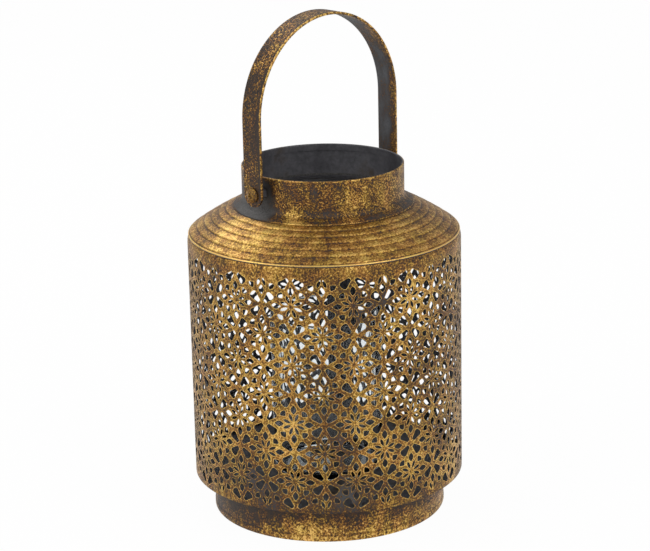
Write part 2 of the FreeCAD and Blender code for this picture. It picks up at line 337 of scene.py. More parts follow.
@dataclass(frozen=True)
class AgedGold:
    """Gold wax dry-brushed over dark slate enamel on rolled tin.

    It gives the eye a warm, broken gold with a soft metal shine, darker where the wax lies thin and dull
    slate where the brush missed.
    """

    name: str
    coverage: float = 0.5
    patch_mm: float = 34.0
    smear_mm: float = 7.0
    # Real wax grains are finer than a pixel, so the speckle is drawn as coarse as it needs to show.
    speckle_mm: float = 1.3
    tone_mm: float = 9.0
    relief_mm: float = 0.3
    patch_share: float = 0.9
    smear_share: float = 0.7
    speckle_share: float = 1.9
    wear_and_highlight_share: float = 0.5
    relief_share: float = 0.5
    core_share: float = 0.3
    tone_swing: float = 0.008
    seed: float = 0.0
    rubs_and_highlights: tuple[RubAndHighlight, ...] = ()
    slate: str = "#585A5C"
    slate_dark: str = "#2C2C30"
    stops: tuple[tuple[float, str], ...] = (
        (0.0, "#170F0B"), (0.2, "#331F10"), (0.36, "#553718"),
        (0.54, "#866029"), (0.74, "#B98B40"), (0.95, "#EEC46F"))

    def build(self) -> Material:
        """Make the material.

        Returns:
            The new material.
        """
        material = new_material(self.name)
        tree = material.node_tree
        place = add(tree, "ShaderNodeTexCoord").outputs["Object"]
        spot = add(tree, "ShaderNodeMapping", {"Vector": place, "Location": (self.seed, self.seed * 0.7, 0)})
        upright = add(tree, "ShaderNodeMapping", {"Vector": spot, "Scale": (1.0, 1.0, 0.45)})
        patch, smear, speckle, tone = (
            add(tree, "ShaderNodeTexNoise", {
                "Vector": where, "Scale": 1 / (size_mm * MM), "Detail": detail, "Roughness": rough})
            for where, size_mm, detail, rough in (
                (spot, self.patch_mm, 3.0, 0.55), (upright, self.smear_mm, 4.0, 0.6),
                (spot, self.speckle_mm, 3.0, 0.75), (spot, self.tone_mm, 2.0, 0.5)))
        # How much wax lies at a place: the broad noises swing about the coverage, then hand rubs and wear,
        # some of which are painted highlights.
        middle = self.coverage - (self.patch_share + self.smear_share) / 2
        wax_and_highlight = add(tree, "ShaderNodeMath", (patch, self.patch_share, middle), operation="MULTIPLY_ADD")
        wax_and_highlight = add(tree, "ShaderNodeMath", (smear, self.smear_share, wax_and_highlight), operation="MULTIPLY_ADD")
        for rub_and_highlight in self.rubs_and_highlights:
            away = add(tree, "ShaderNodeVectorMath", (place, rub_and_highlight.centre), operation="DISTANCE")
            reach = rub_and_highlight.reach_mm * MM
            near = add(tree, "ShaderNodeMapRange", (
                away.outputs["Value"], reach * self.core_share, reach, 1.0, 0.0),
                interpolation_type="SMOOTHSTEP")
            wax_and_highlight = add(tree, "ShaderNodeMath", (near, rub_and_highlight.gain, wax_and_highlight), operation="MULTIPLY_ADD")
        # The wear attribute also paints highlights: the rims round the wall's openings and the strap's front
        # edge.
        wear_and_highlight = add(tree, "ShaderNodeAttribute", attribute_name="wear_and_highlight").outputs["Fac"]
        wax_and_highlight = add(tree, "ShaderNodeMath", (wear_and_highlight, self.wear_and_highlight_share, wax_and_highlight), operation="MULTIPLY_ADD")
        # The speckle is louder where more wax lies.
        loud = add(tree, "ShaderNodeMapRange", (wax_and_highlight, 0.05, 0.4, 0.45, 1.0))
        loud = add(tree, "ShaderNodeMath", (loud, self.speckle_share), operation="MULTIPLY")
        grain = add(tree, "ShaderNodeMath", (speckle, 0.5), operation="SUBTRACT")
        level = add(tree, "ShaderNodeMath", (grain, loud, wax_and_highlight), operation="MULTIPLY_ADD")
        ramp = add(tree, "ShaderNodeValToRGB", (level,))
        set_stops(ramp.color_ramp, self.stops)
        swing = self.tone_swing
        hue = add(tree, "ShaderNodeMapRange", (tone, 0.35, 0.65, 0.5 - swing, 0.5 + swing))
        gold = add(tree, "ShaderNodeHueSaturation", {"Color": ramp, "Hue": hue})
        frayed = add(tree, "ShaderNodeMath", (grain, 0.9, wax_and_highlight), operation="MULTIPLY_ADD")
        bare = add(tree, "ShaderNodeMapRange", (frayed, -0.05, 0.32, 1.0, 0.0))
        paint = add(tree, "ShaderNodeValToRGB", (speckle,))
        set_stops(paint.color_ramp, ((0.3, self.slate_dark), (0.6, self.slate)))
        colour = add(tree, "ShaderNodeMix", {0: bare, 6: gold, 7: paint}, data_type="RGBA").outputs[2]
        shader = add(tree, "ShaderNodeBsdfPrincipled", {
            "Base Color": colour,
            "Metallic": add(tree, "ShaderNodeMapRange", (level, 0.15, 0.7, 0.25, 0.85)),
            "Roughness": add(tree, "ShaderNodeMapRange", (level, 0.0, 1.0, 0.58, 0.34)),
            "Normal": add(tree, "ShaderNodeBump", {
                "Height": level, "Distance": self.relief_mm * MM, "Strength": self.relief_share})})
        add(tree, "ShaderNodeOutputMaterial", (shader,))
        return material


@dataclass(frozen=True)
class SlateEnamel:
    """Dark slate enamel, sprayed and baked on tin: a dull blue-grey with faint warm rub marks."""

    name: str = "slate_enamel"
    cloud_mm: float = 28.0
    # The grain of sprayed enamel is finer than a pixel, so it is drawn as coarse as it needs to show.
    grain_mm: float = 2.2
    relief_mm: float = 0.08
    stops: tuple[tuple[float, str], ...] = ((0.3, "#333236"), (0.55, "#57565A"), (0.72, "#43372A"))

    def build(self) -> Material:
        """Make the material.

        Returns:
            The new material.
        """
        material = new_material(self.name)
        tree = material.node_tree
        place = add(tree, "ShaderNodeTexCoord").outputs["Object"]
        cloud, grain = (
            add(tree, "ShaderNodeTexNoise", {
                "Vector": place, "Scale": 1 / (size_mm * MM), "Detail": detail, "Roughness": rough})
            for size_mm, detail, rough in ((self.cloud_mm, 4.0, 0.6), (self.grain_mm, 3.0, 0.7)))
        ramp = add(tree, "ShaderNodeValToRGB", (cloud,))
        set_stops(ramp.color_ramp, self.stops)
        shade = add(tree, "ShaderNodeMapRange", (grain, 0.3, 0.7, 0.75, 1.15))
        shader = add(tree, "ShaderNodeBsdfPrincipled", {
            "Base Color": add(tree, "ShaderNodeVectorMath", {0: ramp, "Scale": shade}, operation="SCALE"),
            "Metallic": 0.3,
            "Roughness": add(tree, "ShaderNodeMapRange", (grain, 0.0, 1.0, 0.42, 0.6)),
            "Normal": add(tree, "ShaderNodeBump", {
                "Height": grain, "Distance": self.relief_mm * MM, "Strength": 0.3})})
        add(tree, "ShaderNodeOutputMaterial", (shader,))
        return material


@dataclass(frozen=True)
class ClearGlass:
    """Pressed soda-lime glass: clear with a faint blue-green cast and slight waviness."""

    name: str = "clear_glass"
    tint: str = "#F5F8F9"
    gloss: float = 0.1
    wave_mm: float = 26.0
    relief_mm: float = 0.4

    def build(self) -> Material:
        """Make the material.

        Returns:
            The new material.
        """
        material = new_material(self.name)
        tree = material.node_tree
        place = add(tree, "ShaderNodeTexCoord").outputs["Object"]
        wave = add(tree, "ShaderNodeTexNoise", {
            "Vector": place, "Scale": 1 / (self.wave_mm * MM), "Detail": 2.0, "Roughness": 0.5})
        bump = add(tree, "ShaderNodeBump", {
            "Height": wave, "Distance": self.relief_mm * MM, "Strength": 0.04})
        shader = add(tree, "ShaderNodeBsdfPrincipled", {
            "Base Color": linear(self.tint), "Transmission Weight": 1.0, "IOR": 1.45,
            "Specular IOR Level": self.gloss, "Roughness": 0.0, "Normal": bump})
        add(tree, "ShaderNodeOutputMaterial", (shader,))
        return material


@dataclass(frozen=True)
class Finishes:
    """Every finish of the lantern, built once."""

    wall: Material
    shoulder: Material
    neck: Material
    foot: Material
    strap: Material
    strap_inside: Material
    screw: Material
    slate: Material
    glass: Material

    @classmethod
    def build(cls) -> "Finishes":
        """Build all the finishes.

        Returns:
            The set.
        """
        # The wall is an even, broken gold, with dark places low at the front and up on the right.
        wall = AgedGold(
            "brushed_gold_wall", coverage=0.565, speckle_share=2.3, seed=0.31, rubs_and_highlights=(
                RubAndHighlight(7, 100, 44, 18, -0.2), RubAndHighlight(58, 100, 70, 22, -0.12), RubAndHighlight(18, 100, 180, 34, -0.14),
                RubAndHighlight(0, 100, 82, 26, -0.14), RubAndHighlight(-38, 100, 40, 30, -0.12), RubAndHighlight(20, 100, 76, 24, 0.1),
                RubAndHighlight(-14, 100, 86, 30, 0.14), RubAndHighlight(0, 100, 36, 70, -0.16), RubAndHighlight(66, 100, 120, 70, -0.08)))
        # The shoulder is painted brightest of all at the left, a painted highlight where the key lamp's
        # sheen falls, and brighter at the right.
        shoulder = AgedGold(
            "brushed_gold_shoulder", coverage=0.57, speckle_share=1.9, speckle_mm=1.4, seed=0.11, rubs_and_highlights=(
                RubAndHighlight(-42, 84, 220, 52, 0.12), RubAndHighlight(8, 84, 220, 46, 0.03), RubAndHighlight(54, 84, 220, 50, 0.1)))
        # The neck stays slate round the left pivot and in the fillet, with loose grains over it.
        neck = AgedGold(
            "brushed_gold_neck", coverage=0.47, patch_mm=24.0, patch_share=1.1, speckle_share=3.2,
            speckle_mm=1.2, seed=0.53, slate="#565452", slate_dark="#2E2B2A", rubs_and_highlights=(
                RubAndHighlight(-54, 59, 242, 27, -0.5), RubAndHighlight(-20, 62, 232, 11, 0.28), RubAndHighlight(36, 59, 254, 16, 0.06),
                RubAndHighlight(-6, 59, 240, 20, -0.06), RubAndHighlight(-62, 66, 232, 38, -0.4), RubAndHighlight(34, 64, 232, 34, 0.04),
                RubAndHighlight(2, 66, 230, 14, 0.06), RubAndHighlight(20, 66, 231, 16, 0.14)))
        # The foot is brown and thinly waxed, brighter to the right.
        foot = AgedGold(
            "brushed_gold_foot", coverage=0.33, speckle_share=2.7, speckle_mm=1.5, seed=0.77,
            slate="#45372A", slate_dark="#1C140F", rubs_and_highlights=(
                RubAndHighlight(22, 86, 6, 44, 0.2), RubAndHighlight(-8, 86, 4, 20, 0.15), RubAndHighlight(-60, 86, 12, 46, -0.2)))
        # The strap is brown with coarse grains, and worn bright over its crown.
        strap = AgedGold(
            "brushed_gold_strap", coverage=0.29, patch_share=0.8, patch_mm=26.0, speckle_share=3.6,
            speckle_mm=1.4, seed=0.93, slate="#403023", slate_dark="#1C1510", rubs_and_highlights=(
                RubAndHighlight(-46, 69, 296, 46, -0.1), RubAndHighlight(-46, 50, 349, 26, 0.16), RubAndHighlight(-46, 20, 370, 30, 0.1)))
        # The strap's inner face is mostly bare slate.
        strap_inside = AgedGold(
            "brushed_gold_strap_inside", coverage=0.36, patch_share=0.8, patch_mm=26.0, speckle_share=2.6,
            seed=0.41, slate="#5E5F62", slate_dark="#38393C")
        # The screws are waxed in finer grains.
        screw = AgedGold("brushed_gold_screw", coverage=0.52, speckle_mm=0.9, smear_mm=3.0, seed=0.2)
        return cls(*(finish.build() for finish in (
            wall, shoulder, neck, foot, strap, strap_inside, screw, SlateEnamel(), ClearGlass())))


# Pieces


@dataclass
class Dressed:
    """Sub-assembly that is dressed from the lantern's set of finishes."""

    finishes: Finishes


@dataclass
class PiercedWall(Dressed):
    """Rolled wall with two flowers punched in turn, and the lap seam at its back.

    Each opening is given by one half: distances along its axis, and across it.
    """

    radius: float = 99.86 * MM
    foot: float = 27.5 * MM
    height: float = 182.1 * MM
    sheet: float = 0.8 * MM
    flange: float = 5.0 * MM
    flange_play: float = 0.01 * MM
    flange_segments: int = 224
    columns: int = 28
    rows: int = 8
    lowest_row: float = 2.0 * MM
    row_pitch: float = 21.7 * MM
    seam_band: float = 17.5 * MM
    seam_direction: float = 38.25
    seam_foot: float = 0.6 * MM
    seam_overlap: float = 3.2 * MM
    seam_sheet: float = 0.5 * MM
    seam_steps: int = 12
    band_lift: float = 0.02 * MM
    lap_lift: float = 0.03 * MM
    curl_height: float = 5.2 * MM
    curl_inset: float = 1.1 * MM
    curl_shares: tuple[float, ...] = (0.3, 0.6, 0.85)
    curl_start_share: float = 0.02
    curl_end_share: float = 0.98
    slices_per_column: int = 4
    merge_distance: float = 0.002 * MM
    crisp_degrees: float = 35.0
    # The bright rim round each opening is edge wear and a painted highlight.
    rim_width: float = 0.45 * MM
    rim_wear_and_highlight: float = 1.2
    field_wear: float = -0.1
    bell_mm: tuple[Point, ...] = (
        (2.7, 0.0), (3.0, 1.4), (6.0, 2.25), (8.8, 3.15), (10.1, 3.05), (11.1, 2.0), (11.4, 0.0))
    petal_mm: tuple[Point, ...] = ((2.1, 0.0), (3.8, 0.85), (5.5, 1.22), (7.2, 0.97), (8.7, 0.0))
    shield_mm: tuple[Point, ...] = ((8.4, 0.0), (9.6, 1.45), (11.1, 2.6), (12.25, 2.25), (13.0, 0.0))
    leaf_mm: tuple[Point, ...] = ((-3.6, 0.0), (-1.8, 1.6), (0.0, 2.3), (1.8, 1.6), (3.6, 0.0))
    pin_mm: tuple[Point, ...] = ((-0.45, 0.0), (-0.3, 0.35), (0.0, 0.45), (0.3, 0.35), (0.45, 0.0))

    @property
    def pitch(self) -> float:
        """Width of one column, with the seam band taken off the girth."""
        return (2 * math.pi * self.radius - self.seam_band) / self.columns

    @staticmethod
    def both_halves(half_mm: tuple[Point, ...]) -> Outline:
        """Closed outline in millimetres from its upper half, whose ends lie on the axis."""
        return list(half_mm) + [(along, -across) for along, across in reversed(half_mm[1:-1])]

    def laid(self, half_mm: tuple[Point, ...], centre: Point, degrees: float) -> Outline:
        """Turn an opening and lay it on the sheet.

        Args:
            half_mm: Its upper half.
            centre: Its centre on the flat sheet.
            degrees: Direction of its axis, from right towards up.

        Returns:
            The closed outline.
        """
        c, s = math.cos(math.radians(degrees)), math.sin(math.radians(degrees))
        return [(centre[0] + (a * c - b * s) * MM, centre[1] + (a * s + b * c) * MM)
                for a, b in self.both_halves(half_mm)]

    def flower(self, kind: Flower, centre: Point, up: bool, down: bool) -> list[Outline]:
        """Openings of one flower.

        Args:
            kind: Which flower.
            centre: Its centre on the flat sheet.
            up: Whether its upper half is punched.
            down: Whether its lower half is punched.

        Returns:
            The outlines of its openings.
        """
        motif = self.bell_mm if kind is Flower.BELLS else self.shield_mm
        holes = [self.laid(motif, centre, degrees) for degrees in [45.0, 135.0] * up + [225.0, 315.0] * down]
        if kind is Flower.PETALS:
            for number in range(8):
                degrees = 22.5 + 45.0 * number
                rise = math.sin(math.radians(degrees))
                if (up and down) or (up and rise > 0.5) or (down and rise < -0.5):
                    holes.append(self.laid(self.petal_mm, centre, degrees))
        return holes

    def side_openings(self) -> list[tuple[tuple[Point, ...], float]]:
        """Openings that lie across a column's boundary.

        Returns:
            The upper half and the height of each, from low to high.
        """
        across = []
        for row in range(self.rows + 1):
            z = self.lowest_row + row * self.row_pitch
            if 0 < row < self.rows:
                across.append((self.leaf_mm, z))
            if row < self.rows:
                across.append((self.pin_mm, z + self.row_pitch / 2))
        return across

    def border(self) -> Outline:
        """Outer edge of the flat tile, with the half openings of both sides.

        Returns:
            The closed edge.
        """
        right: Outline = [(self.pitch, 0.0)]
        for half_mm, height in self.side_openings():
            inner = sorted((b, a) for a, b in self.both_halves(half_mm) if a <= 0.0)
            right += [(self.pitch + a * MM, height + b * MM) for b, a in inner]
        right.append((self.pitch, self.height))
        return right + [(-x, z) for x, z in reversed(right)]

    def at_side(self, edge: bmesh.types.BMEdge) -> bool:
        """Whether an edge lies on the tile's left or right border, where the next tile joins."""
        return all(abs(abs(vertex.co.x) - self.pitch) < SAME_PLACE for vertex in edge.verts)

    def tile(self) -> Mesh:
        """Punched sheet two columns wide, still flat, with half openings along its sides.

        Returns:
            A mesh whose front faces -Y and whose left and right borders are open.
        """
        loops = [self.border()]
        for column in range(2):
            x = (column - 0.5) * self.pitch
            for row in range(self.rows + 1):
                z = self.lowest_row + row * self.row_pitch
                loops += self.flower(Flower((column + row) % 2), (x, z), row < self.rows, row > 0)
                if row < self.rows:
                    loops.append(self.laid(self.leaf_mm, (x, z + self.row_pitch / 2), 90.0))
        loops += [self.laid(half_mm, (0.0, height), 0.0) for half_mm, height in self.side_openings()]
        bm = flat_sheet(loops, Vector((0, 0, 1)))
        self.add_front(bm)
        slices = self.slices_per_column * 2
        slice_mesh(bm, Vector((1, 0, 0)), [self.pitch * (2 * n / slices - 1) for n in range(1, slices)])
        shares = (self.curl_start_share, *self.curl_shares)
        slice_mesh(bm, Vector((0, 0, 1)), [self.height - self.curl_height * (1 - share) for share in shares])
        return bm

    def add_front(self, bm: Mesh) -> None:
        """Give the filled sheet its front, its cut edges and a narrow bright rim of wear and painted
        highlight round each opening.

        Args:
            bm: Flat sheet in the XZ plane, which becomes the back.
        """
        wear_and_highlight = bm.verts.layers.float.new("wear_and_highlight")
        inside = bm.faces.layers.int.new("inside")
        back = bm.faces[:]
        rim = [edge for edge in bm.edges if edge.is_boundary and not self.at_side(edge)]
        front, cuts = thicken(bm, Vector((0, -self.sheet, 0)), rim)
        bmesh.ops.inset_region(
            bm, faces=front, use_boundary=False, use_even_offset=True, thickness=self.rim_width)
        for face in back + cuts:
            face[inside] = 1
        for faces, amount in ((front, self.field_wear), (cuts, self.rim_wear_and_highlight)):
            for vertex in (v for face in faces for v in face.verts):
                vertex[wear_and_highlight] = amount
        bmesh.ops.recalc_face_normals(bm, faces=bm.faces)
        if sum(face.normal.y * face.calc_area() for face in front) > 0:
            bmesh.ops.reverse_faces(bm, faces=bm.faces)

    def bender(self, sizes: dict[str, float]) -> Tree:
        """Node tree that repeats the tile and rolls it round the axis.

        Args:
            sizes: Name and value of each size that the tree takes, whole numbers as int.

        Returns:
            The node tree, with its sizes as named inputs.
        """
        tree = bpy.data.node_groups.new("rolled_lattice", "GeometryNodeTree")
        tree.interface.new_socket("Geometry", in_out="INPUT", socket_type="NodeSocketGeometry")
        for name, size in sizes.items():
            kind = "NodeSocketInt" if isinstance(size, int) else "NodeSocketFloat"
            tree.interface.new_socket(name, in_out="INPUT", socket_type=kind)
        tree.interface.new_socket("Geometry", in_out="OUTPUT", socket_type="NodeSocketGeometry")
        given = add(tree, "NodeGroupInput").outputs
        step = add(tree, "ShaderNodeCombineXYZ", {"X": given["Tile Width"]})
        row = add(tree, "GeometryNodeMeshLine", {"Count": given["Tiles"], "Offset": step})
        copies = add(tree, "GeometryNodeInstanceOnPoints", {"Points": row, "Instance": given["Geometry"]})
        sheet = add(tree, "GeometryNodeRealizeInstances", (copies,))
        sheet = add(tree, "GeometryNodeMergeByDistance", {
            "Geometry": sheet, "Distance": self.merge_distance})
        place = add(tree, "ShaderNodeSeparateXYZ", (add(tree, "GeometryNodeInputPosition"),)).outputs
        found = {socket.name: socket for socket in (*given, *place)}
        # Along the sheet becomes a turn round the axis, depth becomes reach, and the top edge curls in by
        # the square of the way up the curl.
        for name, operation, *terms in (
                ("along", "MULTIPLY_ADD", "Tile Width", 0.5, "X"), ("turn", "DIVIDE", "along", "Radius"),
                ("turn", "ADD", "turn", "Start Angle"), ("start", "SUBTRACT", "Height", "Curl Height"),
                ("share", "SUBTRACT", "Z", "start"), ("share", "DIVIDE", "share", "Curl Height"),
                ("share", "MAXIMUM", "share", 0.0), ("inset", "MULTIPLY", "share", "share"),
                ("inset", "MULTIPLY", "inset", "Curl Inset"), ("depth", "ADD", "Y", "Sheet"),
                ("reach", "SUBTRACT", "Radius", "depth"), ("reach", "SUBTRACT", "reach", "inset"),
                ("cosine", "COSINE", "turn"), ("x", "MULTIPLY", "reach", "cosine"),
                ("sine", "SINE", "turn"), ("y", "MULTIPLY", "reach", "sine"), ("z", "ADD", "Z", "Foot")):
            values = tuple(found.get(term, term) for term in terms)
            found[name] = add(tree, "ShaderNodeMath", values, operation=operation)
        bent = add(tree, "ShaderNodeCombineXYZ", (found["x"], found["y"], found["z"]))
        rolled = add(tree, "GeometryNodeSetPosition", {"Geometry": sheet, "Position": bent})
        rolled = add(tree, "GeometryNodeSetShadeSmooth", {
            "Geometry": rolled, "Shade Smooth": True}, domain="FACE")
        bend = add(tree, "GeometryNodeInputMeshEdgeAngle")
        limit = math.radians(self.crisp_degrees)
        crisp = add(tree, "ShaderNodeMath", (bend, limit), operation="GREATER_THAN")
        rolled = add(tree, "GeometryNodeSetShadeSmooth", {
            "Geometry": rolled, "Selection": crisp, "Shade Smooth": False}, domain="EDGE")
        rolled = add(tree, "GeometryNodeSetMaterial", {"Geometry": rolled, "Material": self.finishes.wall})
        inside = add(tree, "GeometryNodeInputNamedAttribute", {"Name": "inside"}, data_type="INT")
        rolled = add(tree, "GeometryNodeSetMaterial", {
            "Geometry": rolled, "Selection": inside, "Material": self.finishes.slate})
        add(tree, "NodeGroupOutput", (rolled,))
        return tree

    def lattice(self) -> Piece:
        """Roll the punched tiles into the lattice and fill its two ends, which face the seam band.

        Returns:
            The lattice.
        """
        piece = piece_of(self.tile(), "pierced_lattice")
        sizes = {"Tiles": self.columns // 2, "Tile Width": self.pitch * 2, "Radius": self.radius,
                 "Sheet": self.sheet, "Foot": self.foot, "Height": self.height,
                 "Start Angle": math.radians(self.seam_direction) + self.seam_band / self.radius / 2,
                 "Curl Height": self.curl_height, "Curl Inset": self.curl_inset}
        rolling = piece.modifiers.new("rolled", "NODES")
        rolling.node_group = self.bender(sizes)
        for item in rolling.node_group.interface.items_tree:
            if item.name in sizes:
                rolling[item.identifier] = sizes[item.name]
        finish_modifiers(piece)
        bm = bmesh.new()
        bm.from_mesh(piece.data)
        bmesh.ops.holes_fill(bm, edges=[edge for edge in bm.edges if edge.is_boundary], sides=0)
        bmesh.ops.triangulate(bm, faces=[face for face in bm.faces if len(face.verts) > 4])
        bm.to_mesh(piece.data)
        bm.free()
        return piece

    def upright_strip(self, name: str, half_width: float, inner: float, outer: float) -> Piece:
        """Plain strip down the back, rolled with the wall.

        Args:
            name: Object name.
            half_width: Half its width.
            inner: Place of its inner face, counted outward from the wall's outside.
            outer: Place of its outer face.

        Returns:
            The strip.
        """
        steps = self.seam_steps
        middle, half = math.radians(self.seam_direction), half_width / self.radius
        turns = [middle + half * (2 * i / steps - 1) for i in range(steps + 1)]
        shares = (0.0, *self.curl_shares, self.curl_end_share)
        levels = [(self.seam_foot, 0.0)]
        levels += [(self.height - self.curl_height * (1 - share), share) for share in shares]
        bm = bmesh.new()
        rings = []
        for z, share in levels:
            ring = []
            for gap, order in ((outer, turns), (inner, turns[::-1])):
                reach = self.radius + gap - self.curl_inset * share * share
                ring += [bm.verts.new(round_axis(reach, turn, self.foot + z)) for turn in order]
            rings.append(ring)
        for low, high in zip(rings, rings[1:]):
            for i in range(len(low)):
                j = (i + 1) % len(low)
                face = bm.faces.new((low[i], low[j], high[j], high[i]))
                face.material_index = int(steps < i < len(low) - 1)
        for ring in (rings[0], rings[-1]):
            for i in range(steps):
                bm.faces.new((ring[i], ring[i + 1], ring[-2 - i], ring[-1 - i]))
        bmesh.ops.recalc_face_normals(bm, faces=bm.faces)
        strip = piece_of(bm, name, self.finishes.wall, self.finishes.slate)
        smooth(strip)
        return strip

    def build(self) -> list[Piece]:
        """Make the lattice, its turned-in foot flange, the plain seam band and the lap over it.

        Returns:
            The pieces of the wall.
        """
        lattice = self.lattice()
        bore = self.radius - self.sheet
        lip = turned("foot_flange", [
            (bore - self.flange, self.foot, 0.0), (bore - self.flange_play, self.foot, 0.0),
            (bore - self.flange_play, self.foot + self.sheet, 0.0),
            (bore - self.flange, self.foot + self.sheet, 0.0)], self.flange_segments, self.finishes.slate)
        half = self.seam_band / 2
        band = self.upright_strip("seam_band", half, -self.sheet, self.band_lift)
        lap = self.upright_strip("lap_seam", half + self.seam_overlap, self.lap_lift, self.seam_sheet)
        return [lattice, lip, band, lap]


@dataclass
class SteppedShoulder(Dressed):
    """Pressed shoulder with six shallow rings and a beaded edge."""

    flange_edge: float = 66.0 * MM
    top: float = 230.3 * MM
    edge: float = 98.3 * MM
    edge_height: float = 211.2 * MM
    crown: float = 1.0 * MM
    steps: int = 6
    rise: float = 0.55 * MM
    bead: float = 0.85 * MM
    bead_tuck: float = 0.4 * MM
    wall_top: float = 209.6 * MM
    wall_seat: float = 1.2 * MM
    seat_slope: float = 0.8 * MM
    lap: float = 4.6 * MM
    lap_slope: float = 0.554
    underside_normal: float = -0.2
    sheet: float = 0.8 * MM
    segments: int = 256
    # Along each step, as shares of its width and its rise, with the wear there.
    step_shares: tuple[Row, ...] = (
        (0.08, 0.1, -0.1), (0.35, 0.45, 0.0), (0.6, 0.75, 0.1), (0.8, 1.0, 0.3), (0.89, 0.8, 0.15),
        (0.95, 0.25, -0.25), (1.0, 0.0, -0.45))

    def line(self, radius: float) -> float:
        """Height of the smooth outer line at a radius."""
        share = (radius - self.flange_edge) / (self.edge - self.flange_edge)
        return self.top + (self.edge_height - self.top) * share + 4 * self.crown * share * (1 - share)

    def build(self) -> Piece:
        """Turn the shoulder.

        Returns:
            The shoulder.
        """
        width = (self.edge - self.flange_edge) / self.steps
        lap_radius, lap_top = self.flange_edge - self.lap, self.top + self.lap * self.lap_slope
        rows: list[Row] = [(lap_radius, lap_top, -1.0), (self.flange_edge, self.top, -1.2)]
        for number in range(self.steps):
            for share, lift, wear_and_highlight in self.step_shares:
                radius = self.flange_edge + width * (number + share)
                rows.append((radius, self.line(radius) + self.rise * lift, wear_and_highlight))
        rows += arc((self.edge, self.edge_height - self.bead), self.bead, 75, -60, 8, 1.0)
        seat_edge = self.edge - self.bead_tuck
        seat_bore = seat_edge - self.wall_seat
        rows += [(seat_edge, self.wall_top, -1.0), (seat_bore, self.wall_top, -1.0)]
        middle = (self.flange_edge + self.edge) / 2
        for radius in (seat_bore - self.seat_slope, (middle + self.edge) / 2, middle,
                       (middle + self.flange_edge) / 2, self.flange_edge):
            rows.append((radius, self.line(radius) - self.sheet, -1.0))
        rows.append((lap_radius, lap_top - self.sheet, -1.0))
        shoulder = turned(
            "stepped_shoulder", rows[::-1], self.segments, self.finishes.shoulder, self.finishes.slate)
        give_second_finish(shoulder, lambda centre, normal: normal.z < self.underside_normal)
        return shoulder


@dataclass
class NeckCollar(Dressed):
    """Rolled neck with a folded rim and a flange that laps over the shoulder."""

    radius: float = 59.0 * MM
    sheet: float = 0.8 * MM
    rim: float = 260.4 * MM
    hem: float = 1.6 * MM
    hem_height: float = 5.0 * MM
    hem_ease: float = 0.4 * MM
    rounding: float = 4.5 * MM
    plain_low: float = 2.5 * MM
    plain_high: float = 3.0 * MM
    skirt: float = 6.0 * MM
    flange_edge: float = 66.0 * MM
    edge_out: float = 0.12 * MM
    edge_rise: float = 0.45 * MM
    edge_back: float = 0.2 * MM
    edge_run: float = 0.8 * MM
    seat: float = 230.3 * MM
    slope_degrees: float = 29.0
    underside_normal: float = -0.3
    segments: int = 256

    def build(self) -> Piece:
        """Turn the neck.

        Returns:
            The neck.
        """
        slope = math.tan(math.radians(self.slope_degrees))
        stretch = math.hypot(1, slope)
        top_edge = self.seat + self.sheet * stretch
        bend = self.radius + self.rounding
        centre = (bend, top_edge + (self.flange_edge - bend) * slope + self.rounding * stretch)
        foot = 270 - self.slope_degrees
        half = self.hem / 2
        bore, hem_bore = self.radius - self.sheet, self.radius - self.hem
        hem_foot, fold = self.rim - self.hem_height, self.rim - half - self.hem_ease
        rows = arc(centre, self.rounding, foot, 180, 8, -0.28)
        rows += [(self.radius, centre[1] + self.plain_low, 0.0),
                 (self.radius, self.rim - self.plain_high, 0.0), (self.radius, fold, 0.0)]
        rows += arc((self.radius - half, self.rim - half), half, 0, 180, 9, 0.45)
        rows += [(hem_bore, fold, -1.0), (hem_bore, hem_foot, -1.5), (bore, hem_foot, -1.5),
                 (bore, centre[1] + self.skirt, -1.5)]
        rows += arc(centre, self.rounding + self.sheet, 180, foot, 8, -1.5)
        rows += [(self.flange_edge, self.seat, -0.8),
                 (self.flange_edge + self.edge_out, self.seat + self.edge_rise, 0.2),
                 (self.flange_edge - self.edge_back, top_edge, 0.1),
                 (self.flange_edge - self.edge_run, top_edge + self.edge_run * slope, -0.3)]
        neck = turned("rolled_neck", rows, self.segments, self.finishes.neck, self.finishes.slate)
        give_second_finish(neck, lambda centre, normal: (
            math.hypot(centre.x, centre.y) < self.radius - half
            or (normal.z < self.underside_normal and centre.z < self.seat + self.skirt)))
        return neck


